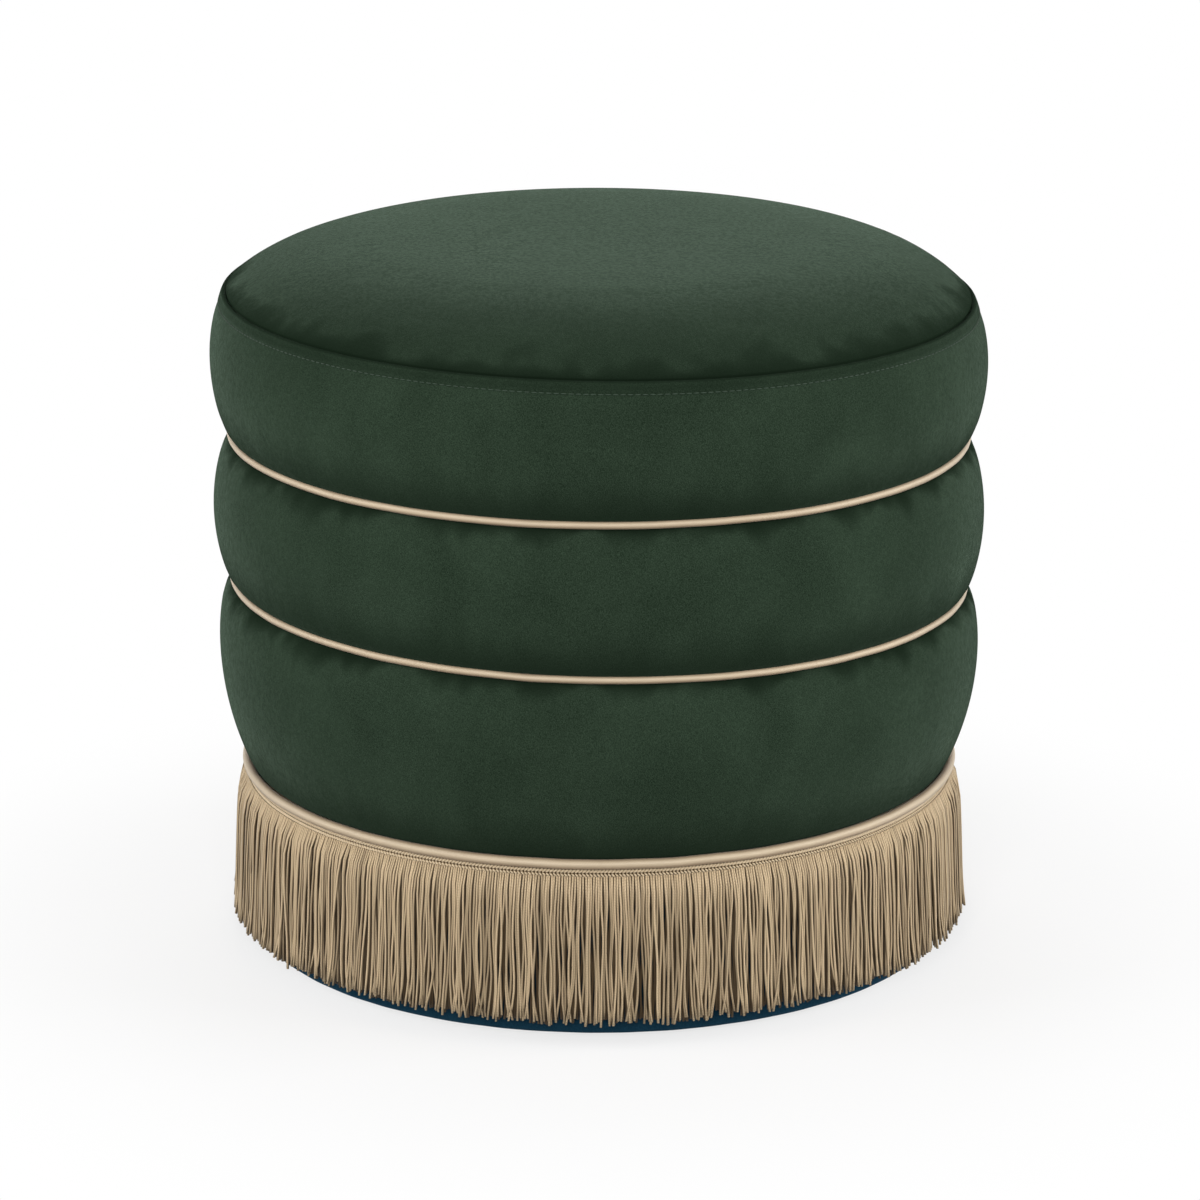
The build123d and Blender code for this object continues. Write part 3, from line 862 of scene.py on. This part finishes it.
def make_piping(name):
    """A covered cord lying in its groove, in place of its CAD cord and cover."""
    core_low, core_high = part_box(name + "_piping_cord")
    cover_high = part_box(name + "_piping_cover")[1]
    ring_radius = core_high.x - (core_high.z - core_low.z) / 2
    thick = (cover_high.x - ring_radius) * PIPING_PULL[name]
    middle = (core_low.z + core_high.z) / 2
    bpy.ops.object.select_all(action="DESELECT")
    bpy.ops.mesh.primitive_torus_add(
        major_radius=ring_radius, minor_radius=thick, major_segments=480, minor_segments=18
    )
    piping = bpy.context.object
    piping.name = name + "_piping"
    piping.data.name = piping.name
    bpy.ops.object.mode_set(mode="EDIT")
    bpy.ops.transform.translate(value=(0, 0, middle))
    bpy.ops.object.mode_set(mode="OBJECT")
    bpy.ops.object.shade_smooth()
    points = points_of(piping)
    outward = (np.hypot(points[:, 0], points[:, 1]) - ring_radius) / thick
    upward = (points[:, 2] - middle) / thick
    # A painted highlight on the line that faces out and up, fading to painted shade where the cord turns
    # in to the groove.
    painted_highlight_facing = np.clip(outward * cos(PAINTED_HIGHLIGHT_TILT) + upward * sin(PAINTED_HIGHLIGHT_TILT), 0, 1)
    mark_points(piping, "painted_highlight", painted_highlight_facing**PAINTED_HIGHLIGHT_POWER)
    for vertex in piping.data.vertices:
        sway = noise.noise(Vector((vertex.co.x, vertex.co.y, 3 * core_low.z)) * SWAY_FINENESS)
        vertex.co.z += PIPING_SWAY * sway
    slump(piping)
    cover_with(piping, satin.material)
    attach(piping, "root")
    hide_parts(name + "_piping_cord", name + "_piping_cover")
    print(piping.name, "ring", round(ring_radius / MM, 1), "thick", round(2 * thick / MM, 1), "mm")


for name in ("upper", "lower", "hem"):
    make_piping(name)

# %% [markdown]
# ## The fringe's braid
#
# The fringe hangs from a narrow braid sewn under the hem piping. Its threads lie in two rows that
# slant towards each other, like a herringbone. One thread is a drawn-out ball, and copies of it lie
# side by side on a plain strip, which is dark brown as painted shade between the threads.

# %% The fringe's braid
BRAID_THREADS = 640
BRAID_SHOWN = 5.0 * MM
BRAID_SLANT = 0.8
THREAD_DEPTH = 1.1 * MM
THREAD_RISE = 0.24 * BRAID_SHOWN
STRIP_THICKNESS = 1.6 * MM

braid_low, braid_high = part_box("fringe_header")
braid_inside = braid_high.x - STRIP_THICKNESS
strip_outline = chain(
    [(braid_inside, braid_low.z), (braid_high.x, braid_low.z), (braid_high.x, braid_high.z)],
    [(braid_inside, braid_high.z), (braid_inside, braid_low.z)],
)
strip = spin_outline("braid_strip", strip_outline, 240)
thread_pitch = tau * braid_high.x / BRAID_THREADS
turns = np.arange(BRAID_THREADS) * tau / BRAID_THREADS


def lay_threads(row, slant, fullness):
    """A row of the braid's threads, counted from the top, with its slant and the threads' fullness."""
    bpy.ops.object.select_all(action="DESELECT")
    bpy.ops.mesh.primitive_uv_sphere_add(segments=6, ring_count=5, radius=1)
    braid_thread = bpy.context.object
    unit = points_of(braid_thread)
    rise = unit[:, 2] * THREAD_RISE
    sideways = unit[:, 1] * thread_pitch * fullness + rise * slant
    radius = braid_high.x + unit[None, :, 0] * THREAD_DEPTH
    angle = turns[:, None] + sideways[None, :] / braid_high.x
    height = braid_high.z - BRAID_SHOWN * (row + 0.5) / 2 + rise[None, :]
    places = round_the_drum(radius, angle, height)
    return copies_of(braid_thread, places, f"braid_row_{row + 1}")


twine = Finish("braid_twine")
spots = twine.clouds(twine.place(), 700, detail=2)
twine_color = twine.mix(spots, (0.48, 0.370, 0.230, 1), (0.72, 0.580, 0.390, 1))
twine_normal = twine.bump(spots, 0.2 * MM, 0.5)
twine.shade(Base_Color=twine_color, Roughness=0.55, Sheen_Weight=0.15, Normal=twine_normal)
# The strip under the threads is painted dark brown as shade in the gaps between them.
painted_gap_shade = Finish("braid_gap_shade")
painted_gap_shade.shade(Base_Color=(0.060, 0.038, 0.016, 1), Roughness=0.9, Specular_IOR_Level=0.1)
cover_with(strip, painted_gap_shade.material)
upper_row = lay_threads(0, BRAID_SLANT, 0.56)
cover_with(upper_row, twine.material)
braid = lay_threads(1, -BRAID_SLANT, 0.42)
cover_with(braid, twine.material)
braid.name = "fringe_braid"
braid.data.name = "fringe_braid"
strip.select_set(True)
upper_row.select_set(True)
bpy.ops.object.join()
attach(braid, "root")
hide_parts("fringe_header")
print("braid points", len(braid.data.vertices))

# %% [markdown]
# ## The fringe
#
# The fringe is about two thousand cords of rayon chainette, a fine knitted tube, looped over the
# braid so that they hang in two layers. One cord is a thin six-sided tube with rings along it.
# Each copy then gets its own path: it bulges out over the braid's edge, hangs with a slight flare
# and ends a little short or long. A few cords stray across the others.

# %% One cord
CORD_RADIUS = 0.72 * MM
CORD_RINGS = 9

bpy.ops.object.select_all(action="DESELECT")
bpy.ops.mesh.primitive_cylinder_add(vertices=6, radius=1, depth=1)
cord = bpy.context.object
bpy.ops.object.mode_set(mode="EDIT")
bpy.ops.mesh.select_all(action="DESELECT")
bpy.ops.mesh.select_mode(type="EDGE")
bpy.ops.object.mode_set(mode="OBJECT")
for edge in cord.data.edges:
    ends = [cord.data.vertices[i].co.z for i in edge.vertices]
    edge.select = abs(ends[0] - ends[1]) > 0.5
bpy.ops.object.mode_set(mode="EDIT")
bpy.ops.mesh.subdivide(number_cuts=CORD_RINGS)
bpy.ops.mesh.select_mode(type="VERT")
bpy.ops.object.mode_set(mode="OBJECT")
cord_points = points_of(cord)
cord_loops = np.empty(len(cord.data.loops), dtype=int)
cord.data.loops.foreach_get("vertex_index", cord_loops)
cord_uv = np.empty(len(cord.data.loops) * 2)
cord.data.uv_layers.active.uv.foreach_get("vector", cord_uv)
cord_uv = cord_uv.reshape(-1, 2)
print("one cord, faces", len(cord.data.polygons))

# %% [markdown]
# Chainette is knitted, so its surface is a chain of small slanting loops. Each cord is painted in shade
# on its sides towards the drum and painted lighter near its top, and each layer sets how bright its
# cords are: the inner layer is painted dark as shade.

# %% The cord finish
KNIT_FOLDS = 4

chainette = Finish("fringe_chainette")
knit_u, knit_v, _ = chainette.axes(chainette.node("ShaderNodeTexCoord", output="UV"))
folds = knit_u * KNIT_FOLDS
fold = chainette.math("ABSOLUTE", folds - chainette.math("FLOOR", folds) - 0.5)
knit = chainette.math("ABSOLUTE", chainette.math("SINE", (knit_v + fold * 1.2) * pi))
# The dark colour is painted shade: it fills the cords' sides towards the drum and the inner layer.
cord_tone_and_painted_shade = chainette.attribute("cord_tone_and_painted_shade")
chainette.shade(
    Base_Color=chainette.mix(
        (0.72 + knit * 0.28) * cord_tone_and_painted_shade,
        (0.036, 0.018, 0.004, 1),
        (0.675, 0.516, 0.322, 1),
    ),
    Roughness=0.45,
    Specular_IOR_Level=0.2,
    Sheen_Weight=0.04,
    Normal=chainette.bump(knit, 0.25 * MM, 0.7),
)

# %% [markdown]
# At the braid the cords lie close and even. Further down they lean into locks, which come from smooth
# noise round the drum: cords near each other read nearly the same noise and lean the same way. Where the
# lean changes sign they part, with dark gaps between, or crowd together.

# %% The way the cords hang
STRAND_LOW, STRAND_TOP = [corner.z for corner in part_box("fringe_strands")]
FLARE = 8.0 * MM
TOP_BULGE = 4.4 * MM
ROOT_JITTER = 0.16
LOCKS = 26
WISPS = 70
WISP_SHARE = 0.7
STRAY_SHARE = 0.07
STRAY_SWING = 1.5
OWN_SWING = 0.28
END_LOCKS = 18
END_LOCK_DEPTH = 1.6
WAVE_DEPTH = 0.65 * MM
TIP_START = 0.7

down = (0.5 - cord_points[:, 2])[None, :]
tip = np.maximum((down - TIP_START) / (1 - TIP_START), 0) ** 2


def lean_of(turns, seed, fineness):
    """Smooth noise round the drum at those angles, between about -1 and 1."""
    samples = [Vector((cos(turn) * fineness, sin(turn) * fineness, seed)) for turn in turns]
    return np.array([noise.noise(sample) for sample in samples])


def hang_cords(rng, count, start_radius, top, seed, gather):
    """Points for each cord of a layer on its own path, and each cord's length."""
    turns = (np.arange(count) + rng.uniform(-ROOT_JITTER, ROOT_JITTER, count)) * tau / count
    lock = lean_of(turns, seed, LOCKS) + WISP_SHARE * lean_of(turns, seed + 7, WISPS)
    strays = rng.random(count) < STRAY_SHARE
    stray = np.where(strays, rng.normal(0, STRAY_SWING, count), 0) * gather
    swing = (lock * gather + rng.normal(0, OWN_SWING, count) * gather + stray) * MM
    push = (rng.uniform(-0.5, 0.5, count) * gather + np.abs(stray) * 0.3) * MM
    ragged = END_LOCK_DEPTH * lean_of(turns, seed + 3, END_LOCKS) + rng.uniform(-2.0, 2.2, count)
    length = top - STRAND_LOW - (0.6 + ragged) * MM
    bulge = TOP_BULGE * (1 - np.exp(-down * 14))
    radius = start_radius + bulge + (FLARE - TOP_BULGE) * down + push[:, None] * np.minimum(down * 6, 1)
    angle = turns[:, None] + swing[:, None] * down**1.6 / radius
    wave = rng.uniform(0, tau, count)[:, None] + down * rng.uniform(4, 11, count)[:, None]
    angle = angle + WAVE_DEPTH / radius * np.sin(wave) * np.minimum(down * 4, 1)
    angle = angle + rng.normal(0, 0.6, count)[:, None] * gather * MM / radius * tip
    radius = radius + rng.uniform(-0.6, 1.4, count)[:, None] * MM * tip
    thick = CORD_RADIUS * rng.uniform(0.9, 1.1, count)[:, None]
    radius = radius + cord_points[None, :, 0] * thick
    angle = angle + cord_points[None, :, 1] * thick / radius
    return round_the_drum(radius, angle, top - down * length[:, None]), length


# %% The two layers
CHAIN_PITCH = 1.5 * MM
CORD_VARIETY = 0.20
PAINTED_TOP_LIGHT = 0.36


def draw_chain(layer, rng, length):
    """UV along each cord, counted in stitches of the chain from a start of its own."""
    stitches = down[:, cord_loops] * length[:, None] / CHAIN_PITCH
    chain_v = stitches + rng.random(len(length))[:, None]
    chain_u = cord_uv[:, 0][None, :] + 0 * chain_v
    layer.data.uv_layers.new(name="chain")
    chain_uv = np.stack([chain_u, chain_v], axis=2).astype(np.float32).ravel()
    layer.data.uv_layers.active.uv.foreach_set("vector", chain_uv)


def hang_layer(name, pattern, count, start_radius, top, seed, tone_and_painted_shade, gather):
    """One layer of cords hung round the drum, each with its own path, length, tone and painted shade."""
    rng = np.random.default_rng(seed)
    places, length = hang_cords(rng, count, start_radius, top, seed, gather)
    layer = copies_of(pattern, places, name)
    draw_chain(layer, rng, length)
    # Random tone per cord, a painted highlight where the cords bulge over the braid, and each layer's
    # level, which for the inner layer is painted shade.
    tint_and_painted_light = tone_and_painted_shade * (1 + rng.normal(0, CORD_VARIETY, count)[:, None] + PAINTED_TOP_LIGHT * np.exp(-down * 5))
    # Painted shade on each cord's sides and back, brightest on the face turned out.
    painted_side_shade = np.clip(0.25 + 0.85 * cord_points[:, 0], 0.05, 1)
    mark_points(layer, "cord_tone_and_painted_shade", np.clip(tint_and_painted_light * painted_side_shade, 0, 1))
    cover_with(layer, chainette.material)
    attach(layer, "root")
    print(name, "cords", count, "mean length", round(float(length.mean()) / MM, 1), "mm")
    return layer


second_cord = cord.copy()
second_cord.data = cord.data.copy()
bpy.context.collection.objects.link(second_cord)
outer_cords = hang_layer(
    "fringe_outer",
    cord,
    count=900,
    start_radius=braid_high.x + 1.0 * MM,
    top=STRAND_TOP,
    seed=11,
    tone_and_painted_shade=0.80,
    gather=2.4,
)
# The inner layer is the same chainette painted dark, as shade behind the outer cords.
inner_cords = hang_layer(
    "fringe_inner",
    second_cord,
    count=1180,
    start_radius=braid_high.x - 1.2 * MM,
    top=braid_low.z + 5 * MM,
    seed=29,
    tone_and_painted_shade=0.07,
    gather=0.3,
)
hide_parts("fringe_strands")

# %% [markdown]
# ## The plinth's velvet
#
# Behind the fringe the drum's foot is wrapped in navy velvet, stretched tight and turned under the
# base. Only its lower edge shows below the cords, where the wadding inside lets it hang a little below
# the board. It is an open skin given a thickness, with faint upright ripples where it is drawn under.

# %% The plinth's velvet
PLINTH_CLOTH = 1.2 * MM
PLINTH_CORNER = 2.2 * MM
PLINTH_TURN_UNDER = 14 * MM
PLINTH_EDGE_DROP = 2.0 * MM
RIPPLE_DEPTH = 0.5 * MM
RIPPLE_REACH = 30 * MM
RIPPLE_FINENESS = 60


def thicken(piece, thickness):
    """Gives an open skin a thickness, half to each side."""
    solid = piece.modifiers.new("cloth", "SOLIDIFY")
    solid.thickness = thickness
    solid.offset = 0
    apply_modifiers(piece)


plinth_low, plinth_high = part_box("plinth_band")
skin_radius = plinth_high.x - PLINTH_CLOTH / 2
board_side = plinth_low.z + PLINTH_CLOTH / 2
skin_low = board_side - PLINTH_EDGE_DROP
corner_center = (skin_radius - PLINTH_CORNER, skin_low + PLINTH_CORNER)
plinth_outline = chain(
    even_run((corner_center[0] - PLINTH_TURN_UNDER, board_side), (corner_center[0], skin_low), ROW),
    arc_points(corner_center, PLINTH_CORNER, -pi / 2, 0, MM),
    even_run((skin_radius, corner_center[1]), (skin_radius, plinth_high.z), 2 * ROW),
)
plinth_skin = spin_outline("plinth_skin", plinth_outline, 300)
for vertex in plinth_skin.data.vertices:
    ripple = noise.noise(Vector((vertex.co.x, vertex.co.y, 0.05 * vertex.co.z)) * RIPPLE_FINENESS)
    lowness = max(0.0, 1 - (vertex.co.z - skin_low) / RIPPLE_REACH)
    swell = 1 + RIPPLE_DEPTH * ripple * lowness / skin_radius
    vertex.co.x *= swell
    vertex.co.y *= swell
thicken(plinth_skin, PLINTH_CLOTH)
cover_with(plinth_skin, navy_velvet)
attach(plinth_skin, "root")
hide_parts("plinth_band", "plinth_wadding")
print("plinth skin points", len(plinth_skin.data.vertices))

# %% [markdown]
# ## The dust cover
#
# Under the base a disc of thin black felt keeps dust out. It is stapled at its edge and sags a
# little in the middle, where the base board has its opening.

# %% The dust cover
DUST_SAG = 1.2 * MM
DUST_SAG_SHARE = 0.7

dust_low, dust_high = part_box("dust_cover")
dust_radius = dust_high.x
dust_middle = (dust_low.z + dust_high.z) / 2
dust_outline = even_run((0, dust_middle), (dust_radius, dust_middle), 8 * MM)
dust_cloth = spin_outline("dust_cloth", dust_outline, 96)
for vertex in dust_cloth.data.vertices:
    share = hypot(vertex.co.x, vertex.co.y) / (DUST_SAG_SHARE * dust_radius)
    vertex.co.z -= DUST_SAG * max(0.0, 1 - share * share)
thicken(dust_cloth, dust_high.z - dust_low.z)
felt = Finish("dust_felt")
fibres = felt.clouds(felt.place(), 420, detail=4)
cover_with(
    dust_cloth,
    felt.shade(
        Base_Color=felt.mix(fibres, (0.012, 0.012, 0.013, 1), (0.045, 0.045, 0.047, 1)),
        Roughness=0.95,
        Specular_IOR_Level=0.1,
        Normal=felt.bump(fibres, 0.2 * MM, 0.5),
    ),
)
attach(dust_cloth, "root")
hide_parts("dust_cover")
print("dust cloth radius", round(dust_radius / MM, 1), "mm")

# %% [markdown]
# ## The hard parts
#
# The frame keeps its CAD shapes. Each sort of material has one finish: plywood and pine with their
# grain, dark hardboard, tan plastic glides and zinc-plated fastenings.

# %% The hard parts


def make_wood(name, pale, dark, grain_scale):
    """Wood whose grain is drawn out along the axis where its scale is small."""
    wood = Finish(name)
    grain = wood.clouds(wood.stretch(wood.place(), grain_scale), 1.0, detail=5, distortion=0.6)
    return wood.shade(
        Base_Color=wood.mix(wood.clamp(grain, 0.3, 0.7), pale, dark),
        Roughness=0.6 + grain * 0.2,
        Normal=wood.bump(grain, 0.2 * MM, 0.4),
    )


plastic = Finish("glide_plastic")
scuffs = plastic.clouds(plastic.place(), 300, detail=3)
glide_color = plastic.mix(scuffs, (0.480, 0.350, 0.200, 1), (0.600, 0.450, 0.280, 1))
plastic.shade(Base_Color=glide_color, Roughness=0.45)
zinc = Finish("zinc_steel")
dulled = zinc.clouds(zinc.place(), 500, detail=2)
zinc.shade(Base_Color=(0.55, 0.56, 0.57, 1), Metallic=1.0, Roughness=0.3 + dulled * 0.25)
HARD_FINISHES = {
    "plywood": make_wood("plywood", (0.56, 0.40, 0.24, 1), (0.40, 0.26, 0.14, 1), (14, 180, 180)),
    "pine": make_wood("pine", (0.62, 0.44, 0.25, 1), (0.42, 0.25, 0.11, 1), (220, 220, 12)),
    "hardboard": make_wood("hardboard", (0.20, 0.12, 0.065, 1), (0.13, 0.075, 0.04, 1), (300, 300, 300)),
    "plastic": plastic.material,
    "zinc": zinc.material,
}
SCREWS = ["base_screws", "deck_screws", "hoop_screws"]
NAILS_AND_STAPLES = ["glide_nails", "hoop_staples", "dust_cover_staples"]
HARD_NODES = {
    "plywood": ["base_board", "deck_board", "hem_hoop", "lower_hoop", "upper_hoop"],
    "pine": [f"upright_{number}" for number in range(1, 7)],
    "hardboard": ["plinth_wrap", "lower_wrap", "middle_wrap", "upper_wrap"],
    "plastic": [f"glide_{number}" for number in range(1, 7)],
    "zinc": SCREWS + NAILS_AND_STAPLES,
}
for finish_name, node_names in HARD_NODES.items():
    for node_name in node_names:
        for cad_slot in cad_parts[node_name].material_slots:
            cad_slot.material = HARD_FINISHES[finish_name]
print("hard nodes finished", sum(len(node_names) for node_names in HARD_NODES.values()))

# %% [markdown]
# ## The floor and the surround
#
# The floor is white paper. Near the drum it is a real surface that takes a soft shadow, and
# further off it fades into plain white, so the background has no horizon. Floor and surround send
# less light to the ottoman than they show, so the undersides of the rolls stay dark. Rays that show
# them, straight or in gloss or glass, see them white.

# %% The floor and the surround
FLOOR_SIZE = 24.0
FLOOR_COLOR = (0.93, 0.93, 0.93, 1)
SHADOW_NEAR = 0.22
SHADOW_FAR = 0.50
SHADOW_LIFT = 0.72
FLOOR_BOUNCE = (0.32, 0.32, 0.32, 1)
SURROUND_LIGHT = 0.19


def shown_rays(finish):
    """1 for a ray that shows the background, 0 for one that only carries light."""
    kinds = ("Is Camera Ray", "Is Glossy Ray", "Is Transmission Ray")
    straight, in_gloss, in_glass = [finish.node("ShaderNodeLightPath", output=kind) for kind in kinds]
    return finish.math("MAXIMUM", finish.math("MAXIMUM", straight, in_gloss), in_glass)


world = bpy.data.worlds.new("white_surround")
bpy.context.scene.world = world
surround = Finish("white_surround", world)
surround_strength = SURROUND_LIGHT + shown_rays(surround) * (1 - SURROUND_LIGHT)
surround.feed(surround.tree.nodes["Background"], {"Color": (1, 1, 1, 1), "Strength": surround_strength})

bpy.ops.object.select_all(action="DESELECT")
bpy.ops.mesh.primitive_plane_add(size=FLOOR_SIZE)
floor = bpy.context.object
floor.name = "floor"
paper = Finish("floor_paper")
spread = paper.node("ShaderNodeVectorMath", {"operation": "LENGTH"}, {0: paper.place()}, output=1)
rays = shown_rays(paper)
seen = rays * (SHADOW_LIFT + paper.clamp(spread, SHADOW_NEAR, SHADOW_FAR) * (1 - SHADOW_LIFT))
paint = paper.mix(rays, FLOOR_BOUNCE, FLOOR_COLOR)
glow = paper.node("ShaderNodeEmission", inputs={"Color": (1, 1, 1, 1), "Strength": 1.0})
paper.shade(Base_Color=paint, Roughness=0.9, Specular_IOR_Level=0.1)
surface = Shade(paper, paper.shader.outputs[0])
blend = paper.node("ShaderNodeMixShader", inputs={0: seen, 1: surface, 2: glow})
paper.feed(paper.tree.nodes["Material Output"], {"Surface": blend})
cover_with(floor, paper.material)
print("floor", FLOOR_SIZE, "m")
